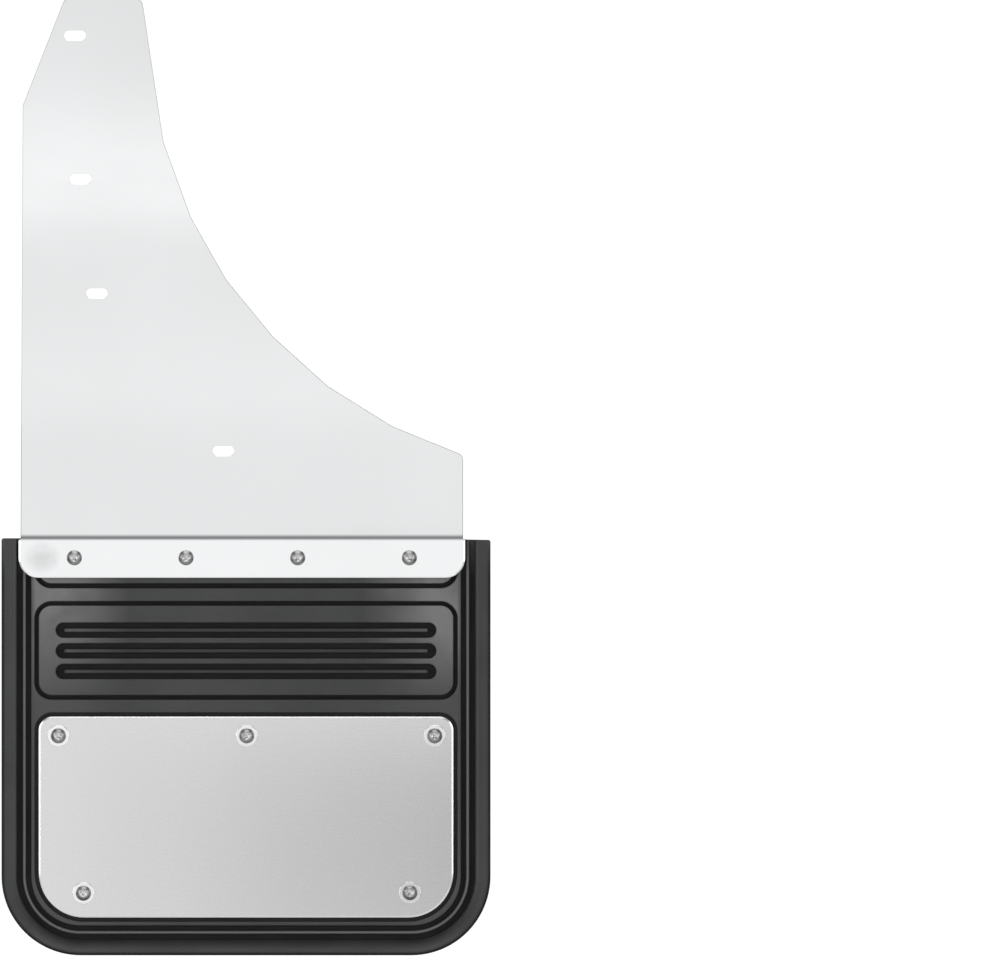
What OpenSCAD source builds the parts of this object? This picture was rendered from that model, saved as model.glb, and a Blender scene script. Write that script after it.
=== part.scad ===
// Pickup-truck mud flap: a bent stainless bracket, a moulded rubber flap hung from its lower
// flange, a stainless weight plate, and the bolts that hold them together.
// X runs across the flap, Z up. The show side faces -Y and the tyre is on the +Y side.
// The origin is the middle of the flap's width on the bend line, where the back faces of the
// bracket's mounting plate and flange would meet in a sharp corner.

/* [Bracket] */
// Thickness of the stainless sheet
sheet_t = 1.5; // [1.2:0.1:2]
// Lean of the mounting plate over the flange, the kick-back of the flap
kick_angle = 8; // [4:1:12]
// Inner radius of the bend
bend_r = 2.5; // [2:0.5:4]
// Width of the flange that clamps the rubber
flange_w = 324.5; // [320:0.5:328]
// Drop of the flange's lower edge below the bend line
flange_drop = 29; // [27:0.5:30]
// Radius of the flange's lower corners
flange_corner_r = 14; // [8:1:18]
// Sideways offset of the bracket from the middle of the flap
bracket_x = -3; // [-3.5:0.5:-2]
// Length of the mounting plate, measured along the sheet
plate_len = 395; // [385:1:400]
// Length of a mounting slot, end to end
slot_len = 16; // [14:0.5:20]
// Height of a mounting slot
slot_h = 7.3; // [6.5:0.1:8.5]
// Pitch of the four flange bolts
flange_bolt_pitch = 81.2; // [78:0.2:84]

/* [Rubber flap] */
// Width of the flap
flap_w = 355.6; // [355:0.2:360]
// Drop of the flap's lower edge below the bend line
flap_drop = 303.6; // [300:0.2:310]
// Thickness of the web, the flat of the flap
web_t = 6; // [5:0.5:8]
// Height of the outer rim above the web
rim_rise = 2; // [1:0.5:2.5]
// Depth of the moulded grooves
groove_depth = 3.5; // [2:0.5:3.5]
// Radius of the flap's lower corners
flap_corner_r = 57.5; // [50:0.5:60]
// Furthest swing away from the tyre, which sets the slope of the flex gap
swing_back = 60; // [30:5:60]
// Furthest swing towards the tyre
swing_forward = 15; // [5:1:20]

/* [Weight plate] */
// Width of the weight plate
weight_w = 301.5; // [300:0.5:304]
// Height of the weight plate
weight_h = 146.2; // [140:0.1:147]
// Thickness of the weight plate
weight_t = 2.5; // [1.5:0.5:3]
// Drop of the weight plate's lower edge below the bend line
weight_drop = 276.2; // [274:0.1:277]

/* [Fasteners] */
// Diameter of the bolts' threads
bolt_d = 6.35; // [6:0.01:6.35]
// Length of a bolt under its head
bolt_len = 19.05; // [18.5:0.05:22]
// Diameter of a button head
head_d = 11.1; // [10:0.1:11.4]
// Height of a button head
head_h = 3.35; // [3:0.05:3.5]
// Width across the flats of the hexagon socket
socket_af = 4; // [3.5:0.1:4]
// Outer diameter of the washers under the weight plate's bolt heads
front_washer_d = 15.9; // [14:0.1:16]
// Outer diameter of the washers behind the rubber
rear_washer_d = 18.7; // [16:0.1:19]
// Thickness of every washer
washer_t = 1.6; // [1.2:0.1:1.6]
// Width across the flats of a lock nut
nut_af = 11.1; // [10:0.1:11.2]

/* [Hidden] */
$fn = 64;

// How far a cutter runs past the faces that it cuts
through = 1;

stainless = "#d6d9da";
black_rubber = "#2b2c2d";
brushed_stainless = "#c3c5c5";
dark_steel = "#8d9091";
zinc = "#b3b6b8";
nylon = "#e9e7dc";

// Bend: the back faces of the mounting plate and the flange both aim at the origin
bend_outer_r = bend_r + sheet_t;
bend_run = bend_outer_r * tan(kick_angle / 2);
bend_steps = 6;
bend_tongue = 5;
flange_top = -1;

// Mounting plate, in its own flat: X across, second value along the sheet from the bend line
plate_left = -163.8;
plate_right = 157.8;
shoulder_left = -161.5;
shoulder_len = 317;
top_left = -131;
top_right = -75;
plate_foot = 2;
arch_corners = [
    [-59.6, 290.4], [-39.8, 235.2], [-14.3, 189.7], [19.8, 147.7], [59.4, 111.5], [106.3, 82],
    [157.8, 60.8]
];
plate_corner_r = 5;
slot_centres = [[-123.5, 368.2], [-119.9, 263.4], [-108, 179.6], [-16.4, 64]];

// Rubber contours, given by their distance in from the flap's outer edge
flap_top = -1.2;
rim_in = 10.9;
outer_groove = [11.3, 15.3];
inner_groove = [17.9, 21.6];
pad_groove_w = 3.6;
pad_w = 301;
pad_drop = 33.1;
pad_corner_r = 9;
panel_w = 301.2;
panel_top = -49.4;
panel_bottom = -114.4;
panel_corner_r = 9.3;
panel_rise = 0.5;
panel_groove_w = 3.3;
rib_slot_len = 277;
rib_slot_h = 11.3;
rib_slot_pitch = 15;
rib_slot_mid = -82.2;
rib_bead_h = 5.5;
rib_bead_gap = 4.5;
rib_bead_drop = 1;
front_cut = 3;
pocket_gap = 3;
pocket_depth = 2;
sunk = 1;
weight_top_r = 10;
weight_bottom_r = 33;
weight_top = -weight_drop + weight_h;

// Flex line: the rubber bends just under the flange
flex_z = -flange_drop - 1.5;
flex_clear = 0.3;
slope_spare = 3;

// Fasteners
hole_r = 3.57;
rubber_hole_r = 3.3;
bolt_r = bolt_d / 2;
socket_depth = 2;
socket_lead_d = 5.6;
nut_h = 7.9;
nut_hex_h = 5.6;
collar_r = 4.9;
insert_r = 4.1;
insert_h = 1.8;
lip_h = 0.5;
thread_clear = 0.02;
tip_h = 1;
tip_inset = 0.8;
socket_lead_h = 0.5;
flange_bolt_z = -14.5;
flange_bolts = [for (i = [-1.5:1:1.5]) [bracket_x + i * flange_bolt_pitch, flange_bolt_z]];
weight_bolts = [[-136.4, -144], [0.5, -144], [137.2, -144], [-118.2, -258.4], [119.2, -258]];
rear_y = web_t;
weight_front_y = pocket_depth - weight_t;

function unit(v) = v / norm(v);

// The arc that replaces corner b of the path a, b, c
function corner_arc(a, b, c, r, n) =
    let (u = unit(a - b), v = unit(c - b), half = acos(u * v) / 2)
    let (mid = b + unit(u + v) * r / sin(half), from = b + u * r / tan(half) - mid)
    let (to = b + v * r / tan(half) - mid, start = atan2(from.y, from.x))
    let (sweep = (atan2(to.y, to.x) - start + 540) % 360 - 180)
    [for (i = [0:n]) mid + r * [cos(start + sweep * i / n), sin(start + sweep * i / n)]];

// A closed outline with every corner rounded to radius r
function rounded(path, r, n = 4) =
    let (count = len(path))
    [for (i = [0:count - 1])
        each corner_arc(path[(i + count - 1) % count], path[i], path[(i + 1) % count], r, n)];

// Extrudes an outline drawn in X and Z from y = front back to y = back
module slab(front, back) {
    translate([0, back, 0]) rotate([90, 0, 0]) linear_extrude(back - front) children();
}

// Extrudes a profile drawn in Y and Z along X from x = left to x = right
module across(left, right) {
    translate([left, 0, 0]) rotate([90, 0, 90]) linear_extrude(right - left) children();
}

// Turns a solid built along +Z so that it runs along +Y from the point x, y, z
module along_y(x, y, z) {
    translate([x, y, z]) rotate([-90, 0, 0]) children();
}

// A rectangle centred on X = 0, with its own radius for the top and for the bottom corners
module tablet(w, top, bottom, top_r, bottom_r) {
    translate([-w / 2, bottom + bottom_r]) square([w, top - bottom - top_r - bottom_r]);
    translate([-w / 2 + bottom_r, bottom]) square([w - 2 * bottom_r, top - bottom - top_r]);
    translate([-w / 2 + top_r, bottom + bottom_r]) square([w - 2 * top_r, top - bottom - bottom_r]);
    for (side = [-1, 1]) {
        translate([side * (w / 2 - bottom_r), bottom + bottom_r]) circle(bottom_r);
        if (top_r > 0) translate([side * (w / 2 - top_r), top - top_r]) circle(top_r);
    }
}

module obround(len, h) {
    square([len - h, h], center = true);
    for (side = [-1, 1]) translate([side * (len - h) / 2, 0]) circle(d = h);
}

module bolt_holes(centres, r) {
    for (c = centres) translate(c) circle(r);
}

// ---- Bracket ----

plate_outline = concat(
    [[plate_left, plate_foot], [shoulder_left, shoulder_len], [top_left, plate_len], [top_right, plate_len]],
    arch_corners,
    [[plate_right, plate_foot]]
);

module mounting_plate_2d() {
    difference() {
        union() {
            polygon(rounded(plate_outline, plate_corner_r));
            translate([plate_left, plate_foot])
                square([plate_right - plate_left, 2 * plate_corner_r]);
        }
        for (c = slot_centres) translate(c) obround(slot_len, slot_h);
    }
}

function bend_arc(r) = [for (i = [0:bend_steps]) let (a = kick_angle * i / bend_steps)
    [-bend_outer_r + r * cos(a), -bend_run + r * sin(a)]];

// The bent strip with a short straight tongue on both sides, seen along X
bend_profile = let (lean = [-sin(kick_angle), cos(kick_angle)], face = [cos(kick_angle), -lean.x])
    concat(
        [[-sheet_t, -bend_tongue], [0, -bend_tongue]],
        bend_arc(bend_outer_r),
        [lean * bend_tongue, lean * bend_tongue - face * sheet_t],
        [for (i = [bend_steps:-1:0]) bend_arc(bend_r)[i]]
    );

module bracket() {
    color(stainless) {
        rotate([kick_angle, 0, 0]) slab(-sheet_t, 0) mounting_plate_2d();
        across(plate_left, plate_right) polygon(bend_profile);
        slab(-sheet_t, 0) difference() {
            translate([bracket_x, 0]) tablet(flange_w, flange_top, -flange_drop, 0, flange_corner_r);
            bolt_holes(flange_bolts, hole_r);
        }
    }
}

// ---- Rubber ----

module contour(inset) {
    tablet(flap_w - 2 * inset, flap_top, -flap_drop + inset, 0, flap_corner_r - inset);
}

module band(from, to) {
    difference() {
        contour(from);
        contour(to);
    }
}

module pad_groove() {
    difference() {
        tablet(pad_w + 2 * pad_groove_w, flap_top, -pad_drop - pad_groove_w, 0,
            pad_corner_r + pad_groove_w);
        tablet(pad_w, flap_top, -pad_drop, 0, pad_corner_r);
    }
}

module panel(grow) {
    tablet(panel_w + 2 * grow, panel_top + grow, panel_bottom - grow, panel_corner_r + grow,
        panel_corner_r + grow);
}

module rib_slots() {
    for (i = [-1:1]) {
        translate([0, rib_slot_mid + i * rib_slot_pitch]) obround(rib_slot_len, rib_slot_h);
    }
}

module rib_beads() {
    for (i = [-1:1]) {
        translate([0, rib_slot_mid + i * rib_slot_pitch])
            obround(rib_slot_len - 2 * rib_bead_gap, rib_bead_h);
    }
}

module weight_outline(grow) {
    tablet(weight_w + 2 * grow, weight_top + grow, -weight_drop - grow, weight_top_r + grow,
        weight_bottom_r + grow);
}

// The whole moulding, before it is parted at the flex line
module moulding() {
    difference() {
        union() {
            difference() {
                union() {
                    slab(0, web_t) contour(0);
                    slab(-panel_rise, sunk) panel(0);
                    slab(-rim_rise, sunk) band(0, rim_in);
                }
                slab(-front_cut, groove_depth) {
                    band(outer_groove[0], outer_groove[1]);
                    band(inner_groove[0], inner_groove[1]);
                    pad_groove();
                    rib_slots();
                    difference() {
                        panel(panel_groove_w);
                        panel(0);
                    }
                }
                slab(-front_cut, pocket_depth) weight_outline(pocket_gap);
            }
            slab(rib_bead_drop, groove_depth + sunk) rib_beads();
        }
        slab(-front_cut, web_t + through) {
            bolt_holes(flange_bolts, rubber_hole_r);
            bolt_holes(weight_bolts, rubber_hole_r);
        }
    }
}

// Everything below the flex line, with a roof that leaves the flap room to swing both ways
module below_flex() {
    front = rim_rise + through;
    back = web_t + through;
    depth = flap_drop + through;
    translate([0, 0, flex_z - flex_clear]) across(-flap_w, flap_w) polygon([
        [0, 0],
        [back, -back * tan(swing_forward + slope_spare)],
        [back, -depth],
        [-front, -depth],
        [-front, -front * tan(swing_back + slope_spare)]
    ]);
}

module above_flex() {
    slab(-front_cut, web_t + through)
        translate([-flap_w, flex_z]) square([2 * flap_w, -flex_z]);
}

module flap_clamped_edge() {
    color(black_rubber) intersection() {
        moulding();
        above_flex();
    }
}

module rubber_flap() {
    color(black_rubber) intersection() {
        moulding();
        below_flex();
    }
}

// ---- Weight plate ----

module weight_plate() {
    color(brushed_stainless) slab(weight_front_y, weight_front_y + weight_t) difference() {
        weight_outline(0);
        bolt_holes(weight_bolts, hole_r);
    }
}

// ---- Fasteners, each built along +Z from the face that it bears on ----

module button_screw() {
    cap_r = (pow(head_d / 2, 2) + pow(head_h, 2)) / (2 * head_h);
    color(dark_steel) difference() {
        union() {
            intersection() {
                translate([0, 0, cap_r - head_h]) sphere(cap_r);
                translate([0, 0, -head_h]) cylinder(h = head_h, d = head_d);
            }
            cylinder(h = bolt_len - tip_h, r = bolt_r);
            translate([0, 0, bolt_len - tip_h])
                cylinder(h = tip_h, r1 = bolt_r, r2 = bolt_r - tip_inset);
        }
        translate([0, 0, -head_h - through])
            cylinder(h = socket_depth + through, d = socket_af / cos(30), $fn = 6);
        translate([0, 0, -head_h])
            cylinder(h = socket_lead_h, d1 = socket_lead_d, d2 = socket_af);
    }
}

module flat_washer(d) {
    color(zinc) difference() {
        cylinder(h = washer_t, d = d);
        translate([0, 0, -through]) cylinder(h = washer_t + 2 * through, r = hole_r);
    }
}

module lock_nut() {
    color(zinc) difference() {
        union() {
            cylinder(h = nut_hex_h, d = nut_af / cos(30), $fn = 6);
            cylinder(h = nut_h, r = collar_r);
        }
        translate([0, 0, -through])
            cylinder(h = nut_h + 2 * through, r = bolt_r + thread_clear);
        translate([0, 0, nut_h - lip_h - insert_h]) cylinder(h = insert_h, r = insert_r);
    }
}

module nylon_insert() {
    color(nylon) translate([0, 0, nut_h - lip_h - insert_h]) difference() {
        cylinder(h = insert_h, r = insert_r);
        translate([0, 0, -through]) cylinder(h = insert_h + 2 * through, r = bolt_r);
    }
}

module bracket_screw(i) {
    c = flange_bolts[i - 1];
    along_y(c.x, -sheet_t, c.y) button_screw();
}

module bracket_washer(i) {
    c = flange_bolts[i - 1];
    along_y(c.x, rear_y, c.y) flat_washer(rear_washer_d);
}

module bracket_nut(i) {
    c = flange_bolts[i - 1];
    along_y(c.x, rear_y + washer_t, c.y) lock_nut();
}

module bracket_nut_insert(i) {
    c = flange_bolts[i - 1];
    along_y(c.x, rear_y + washer_t, c.y) nylon_insert();
}

module weight_screw(i) {
    c = weight_bolts[i - 1];
    along_y(c.x, weight_front_y - washer_t, c.y) button_screw();
}

module weight_front_washer(i) {
    c = weight_bolts[i - 1];
    along_y(c.x, weight_front_y - washer_t, c.y) flat_washer(front_washer_d);
}

module weight_rear_washer(i) {
    c = weight_bolts[i - 1];
    along_y(c.x, rear_y, c.y) flat_washer(rear_washer_d);
}

module weight_nut(i) {
    c = weight_bolts[i - 1];
    along_y(c.x, rear_y + washer_t, c.y) lock_nut();
}

module weight_nut_insert(i) {
    c = weight_bolts[i - 1];
    along_y(c.x, rear_y + washer_t, c.y) nylon_insert();
}

bracket();
flap_clamped_edge();
rubber_flap();
weight_plate();
for (i = [1:4]) {
    bracket_screw(i);
    bracket_washer(i);
    bracket_nut(i);
    bracket_nut_insert(i);
}
for (i = [1:5]) {
    weight_screw(i);
    weight_front_washer(i);
    weight_rear_washer(i);
    weight_nut(i);
    weight_nut_insert(i);
}
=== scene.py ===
"""Pickup-truck mud flap: stainless bracket, moulded rubber flap, weight plate and their bolts.

Shapes are in millimetres until a mesh is made, which scales them to metres. Materials and the
stage are in metres. Outlines are drawn in X and Z. Y is depth: the show side faces -Y and the
tyre is on the +Y side.
"""

import math

import bmesh
import bpy
import numpy as np
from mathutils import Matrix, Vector
from mathutils.geometry import delaunay_2d_cdt


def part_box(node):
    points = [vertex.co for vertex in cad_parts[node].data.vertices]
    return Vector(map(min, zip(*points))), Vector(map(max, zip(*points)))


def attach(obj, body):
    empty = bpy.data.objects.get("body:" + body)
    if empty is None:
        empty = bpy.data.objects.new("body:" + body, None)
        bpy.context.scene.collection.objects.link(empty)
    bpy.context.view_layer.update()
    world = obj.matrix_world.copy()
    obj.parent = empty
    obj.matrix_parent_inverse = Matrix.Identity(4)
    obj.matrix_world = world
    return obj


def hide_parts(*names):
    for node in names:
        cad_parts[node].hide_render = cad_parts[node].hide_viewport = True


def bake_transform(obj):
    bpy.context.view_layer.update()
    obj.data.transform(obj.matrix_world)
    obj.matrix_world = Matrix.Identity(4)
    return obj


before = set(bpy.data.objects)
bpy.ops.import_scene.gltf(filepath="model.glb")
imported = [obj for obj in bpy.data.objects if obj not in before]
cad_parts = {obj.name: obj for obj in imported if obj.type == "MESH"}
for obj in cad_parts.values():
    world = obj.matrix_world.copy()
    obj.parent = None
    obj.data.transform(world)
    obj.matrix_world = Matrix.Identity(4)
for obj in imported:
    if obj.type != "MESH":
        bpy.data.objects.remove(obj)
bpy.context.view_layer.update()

MM = 0.001


def cad_box(node):
    """A CAD node's lowest and highest corners in millimetres."""
    low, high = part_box(node)
    return np.array(low) / MM, np.array(high) / MM


# ---- Driving dimensions, read from the CAD frame where it has them ----

flap_low, flap_high = cad_box("rubber_flap")
_, edge_high = cad_box("flap_clamped_edge")
bracket_low, bracket_high = cad_box("bracket")
plate_low, plate_high = cad_box("weight_plate")

FLAP_HALF_W = flap_high[0]
FLAP_TOP = edge_high[2]
FLAP_BOTTOM = flap_low[2]
FLAP_BACK = flap_high[1]
RIM_FRONT = flap_low[1]
WEB_FRONT = 0.0
GROOVE_FLOOR = 3.5
FLAP_CORNER_R = 57.5
RIM_W = 11.0
RIDGE_OUTER = 15.4
RIDGE_INNER = 17.8
WEB_OUTER = 21.6

PANEL_HALF_W = 150.6
PANEL_TOP = -49.4
PANEL_BOTTOM = -114.4
PANEL_CORNER_R = 9.3
PANEL_FRONT = -0.5
PANEL_GROOVE = 3.3
PAD_HALF_W = 150.5
PAD_BOTTOM = -33.1
PAD_CORNER_R = 9.0
PAD_GROOVE = 3.6
RIB_HALF_LEN = 138.5
RIB_SLOT_H = 11.3
RIB_PITCH = 15.0
RIB_MID = -82.2
RIB_BEAD_FRONT = 1.0
LIP_R = 1.15
LIP_RUN = 1.2
POCKET_FLOOR = 2.0
POCKET_GAP = 3.0

WEIGHT_TOP_R = 10.0
WEIGHT_BOTTOM_R = 33.0

KICK = math.radians(8)
SHEET_T = 1.5
BEND_OUTER_R = 28.0
HOLE_BEVEL = (0.08, 0.08)
FLANGE_TOP = -1.0
FLANGE_CORNER_R = 14.0
PLATE_LEFT = -163.8
PLATE_RIGHT = 157.8
PLATE_TOP_LEFT = -131
PLATE_TOP_RIGHT = -75
PLATE_LEN = bracket_high[2] / math.cos(KICK)
PLATE_CORNER_R = 5
SHOULDER = (-161.5, 317.0)
ARCH_CORNERS = [
    (-59.6, 290.4), (-39.8, 235.2), (-14.3, 189.7), (19.8, 147.7),
    (59.4, 111.5), (106.3, 82), (PLATE_RIGHT, 60.8),
]
SLOT_CENTRES = [(-123.5, 368.2), (-119.9, 263.4), (-108, 179.6), (-16.4, 64)]
SLOT_LEN = 16.0
SLOT_H = 7.3

BOLT_R = 3.175
BOLT_LEN = 19.05
THREAD_PITCH = 1.27
THREAD_DEPTH = 0.65
THREAD_START = 1.4
TIP_LEN = 1.0
TIP_SLOPE = 0.8
HEAD_R = 5.55
HEAD_H = 3.35
SOCKET_AF = 4.0
SOCKET_LEAD_R = 2.8
SOCKET_DEPTH = 2.0
HOLE_R = 3.57
RUBBER_HOLE_R = 3.3
NUT_AF = 11.1
NUT_H = 7.9
NUT_HEX_H = 5.6
INSERT_R = 4.1
INSERT_TOP = NUT_H - 0.5
INSERT_BOTTOM = NUT_H - 2.3
RING_POINTS = 48


# ---- Outlines ----


def unit(v):
    return v / np.linalg.norm(v)


def fillet(a, b, c, r, steps):
    """The arc of radius r that rounds corner b of the path a, b, c."""
    if r <= 0:
        return [b]
    u, v = unit(a - b), unit(c - b)
    half = math.acos(np.clip(u @ v, -1, 1)) / 2
    centre = b + unit(u + v) * r / math.sin(half)
    start = b + u * r / math.tan(half) - centre
    end = b + v * r / math.tan(half) - centre
    from_angle = math.atan2(start[1], start[0])
    turn = (math.atan2(end[1], end[0]) - from_angle + 3 * math.pi) % (2 * math.pi) - math.pi
    angles = from_angle + turn * np.linspace(0, 1, steps + 1)
    return [centre + r * np.array([math.cos(t), math.sin(t)]) for t in angles]


def rounded(points, radii, steps=6, closed=True):
    """The path with each corner rounded to its radius. An open path keeps its two ends."""
    points = [np.array(p, float) for p in points]
    count = len(points)
    path = []
    for i, (b, r) in enumerate(zip(points, radii)):
        if not closed and i in (0, count - 1):
            path.append(b)
        else:
            path.extend(fillet(points[i - 1], b, points[(i + 1) % count], r, steps))
    return np.array(path)


def filleted(corners, steps=6, closed=False):
    """The path through corners that are given as (point, radius)."""
    points, radii = zip(*corners)
    return rounded(points, radii, steps, closed)


def circle(centre, r, count=RING_POINTS):
    angles = np.arange(count) * 2 * math.pi / count
    return np.array(centre) + r * np.column_stack([np.cos(angles), np.sin(angles)])


def tablet(half_w, top, bottom, top_r, bottom_r, steps=14):
    """A rectangle that has one radius on its upper corners and one on its lower corners."""
    corners = [(-half_w, bottom), (half_w, bottom), (half_w, top), (-half_w, top)]
    return rounded(corners, [bottom_r, bottom_r, top_r, top_r], steps)


def obround(centre, length, height, steps=12):
    """A slot's outline. Its ends are a hair short of half circles, so that no points coincide."""
    half_len, half_h = length / 2, height / 2
    end_r = half_h * 0.999
    corners = [(-half_len, -half_h), (half_len, -half_h), (half_len, half_h), (-half_len, half_h)]
    return np.array(centre) + rounded(corners, [end_r] * 4, steps)


def flap_top(x):
    """The height of the flap's cut top edge, which is a little uneven beside the bracket."""
    corner_r = 1.6
    dip_x, dip_half_w, dip_depth = 167.5, 2.0, 0.5
    beside_bracket, left_rise, right_drop = 160, 0.9, 0.3
    into_corner = max(0, abs(x) - (FLAP_HALF_W - corner_r))
    dip = dip_depth * math.exp(-(((abs(x) - dip_x) / dip_half_w) ** 2))
    lean = left_rise if x < -beside_bracket else -right_drop if x > beside_bracket else 0
    return FLAP_TOP + lean - dip - (corner_r - math.sqrt(max(0, corner_r**2 - into_corner**2)))


def u_path(half_w, bottom, r, steps=24):
    """An open path down the left side, round both lower corners and up the right side."""
    left_top, right_top = (-half_w, flap_top(-half_w)), (half_w, flap_top(half_w))
    corners = [(left_top, 0), ((-half_w, bottom), r), ((half_w, bottom), r), (right_top, 0)]
    return filleted(corners, steps)


def grown(loop, by):
    """A closed counter-clockwise outline moved outwards by a distance, inwards if negative. The
    distance may be one for the whole outline or one for each of its points."""
    along = np.roll(loop, -1, axis=0) - loop
    along /= np.linalg.norm(along, axis=1)[:, None]
    out = np.column_stack([along[:, 1], -along[:, 0]])
    mean = out + np.roll(out, 1, axis=0)
    mean /= (mean * mean).sum(1)[:, None] / 2
    return loop + np.reshape(by, (-1, 1)) * mean


def inside(points, loops):
    """Which points lie inside an odd number of the closed loops."""
    odd = np.zeros(len(points), bool)
    for loop in loops:
        a, b = loop, np.roll(loop, -1, axis=0)
        for (ax, az), (bx, bz) in zip(a, b):
            if az == bz:
                continue
            spans = (az > points[:, 1]) != (bz > points[:, 1])
            odd ^= spans & (points[:, 0] < ax + (points[:, 1] - az) * (bx - ax) / (bz - az))
    return odd


# ---- Mesh building ----

WELD_DISTANCE = 2e-6
DEGENERATE = 1e-7
FILL_TOLERANCE = 1e-5


class Builder:
    """Collects points and faces in millimetres, then makes one closed mesh of them."""

    def __init__(self):
        self.points = []
        self.faces = []

    def add(self, points):
        first = len(self.points)
        self.points.extend(tuple(map(float, p)) for p in points)
        return list(range(first, len(self.points)))

    def sweep(self, loops, closed=True, joined=False):
        """Skins a row of loops that have the same number of points."""
        rows = [self.add(loop) for loop in loops]
        if joined:
            rows.append(rows[0])
        for low, high in zip(rows, rows[1:]):
            count = len(low)
            for i in range(count if closed else count - 1):
                j = (i + 1) % count
                self.faces.append((low[i], low[j], high[j], high[i]))
        return rows

    def pole(self, row, point):
        """Closes a loop with a fan to one point."""
        tip = self.add([point])[0]
        for i, j in zip(row, row[1:] + row[:1]):
            self.faces.append((i, j, tip))

    def fill(self, loops, lift, spacing=8.0):
        """Fills the flat region that lies inside an odd number of loops with even triangles."""
        low = np.min([loop.min(0) for loop in loops], axis=0)
        high = np.max([loop.max(0) for loop in loops], axis=0)
        ticks = [np.arange(a + spacing / 2, b, spacing) for a, b in zip(low, high)]
        grid = np.stack(np.meshgrid(*ticks), -1).reshape(-1, 2)
        grid = grid[inside(grid, loops)]
        border = np.concatenate(loops)
        to_border = np.min([np.hypot(*(grid - p).T) for p in border], axis=0)
        grid = grid[to_border > spacing * 0.4]
        edges, first = [], 0
        for loop in loops:
            count = len(loop)
            edges += [(first + i, first + (i + 1) % count) for i in range(count)]
            first += count
        given = [Vector(p) for p in np.concatenate([border, grid])]
        points, _, faces, *_ = delaunay_2d_cdt(given, edges, [], 0, FILL_TOLERANCE)
        flat = np.array([tuple(p) for p in points])
        faces = [f for f in faces if len(f) == 3]
        middles = np.array([flat[list(f)].mean(0) for f in faces])
        ids = self.add([lift(p) for p in flat])
        kept = inside(middles, loops)
        self.faces += [tuple(ids[i] for i in f) for f, keep in zip(faces, kept) if keep]

    def make(self, name, material, cuts=(), bend=None):
        """The finished object, with extra edge loops cut across Z, and then bent."""
        mesh = bmesh.new()
        verts = [mesh.verts.new(Vector(p) * MM) for p in self.points]
        for face in self.faces:
            mesh.faces.new([verts[i] for i in face])
        bmesh.ops.remove_doubles(mesh, verts=mesh.verts, dist=WELD_DISTANCE)
        bmesh.ops.dissolve_degenerate(mesh, edges=mesh.edges, dist=DEGENERATE)
        loose = [v for v in mesh.verts if not v.link_faces]
        bmesh.ops.delete(mesh, geom=loose, context="VERTS")
        for level in cuts:
            everything = mesh.verts[:] + mesh.edges[:] + mesh.faces[:]
            plane = {"plane_co": (0, 0, level * MM), "plane_no": (0, 0, 1)}
            bmesh.ops.bisect_plane(mesh, geom=everything, dist=DEGENERATE, **plane)
        if bend:
            for v in mesh.verts:
                v.co = Vector(bend(np.array(v.co) / MM)) * MM
        bmesh.ops.recalc_face_normals(mesh, faces=mesh.faces)
        data = bpy.data.meshes.new(name)
        mesh.to_mesh(data)
        mesh.free()
        data.shade_smooth()
        data.materials.append(material)
        return placed(name, data)


def placed(name, data, where=(0, 0, 0), turn=0.0):
    """An object of this mesh, turned about its own Y axis."""
    piece = bpy.data.objects.new(name, data)
    piece.location = Vector(where) * MM
    piece.rotation_euler = (0, turn, 0)
    bpy.context.scene.collection.objects.link(piece)
    weighted = piece.modifiers.new("flat faces stay flat", "WEIGHTED_NORMAL")
    weighted.weight = 90
    weighted.keep_sharp = False
    return piece


def at_depth(loop, y):
    """An outline in X and Z, as a loop of points at depth y."""
    return np.column_stack([loop[:, 0], np.full(len(loop), y), loop[:, 1]])


def outline_of(loop):
    """A loop's X and Z."""
    return loop[:, [0, 2]]


def flat_at(y):
    """Lifts a point of an outline to depth y."""
    return lambda p: (p[0], y, p[1])


# ---- Materials ----


def grey(level):
    return (level, level, level)


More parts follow.
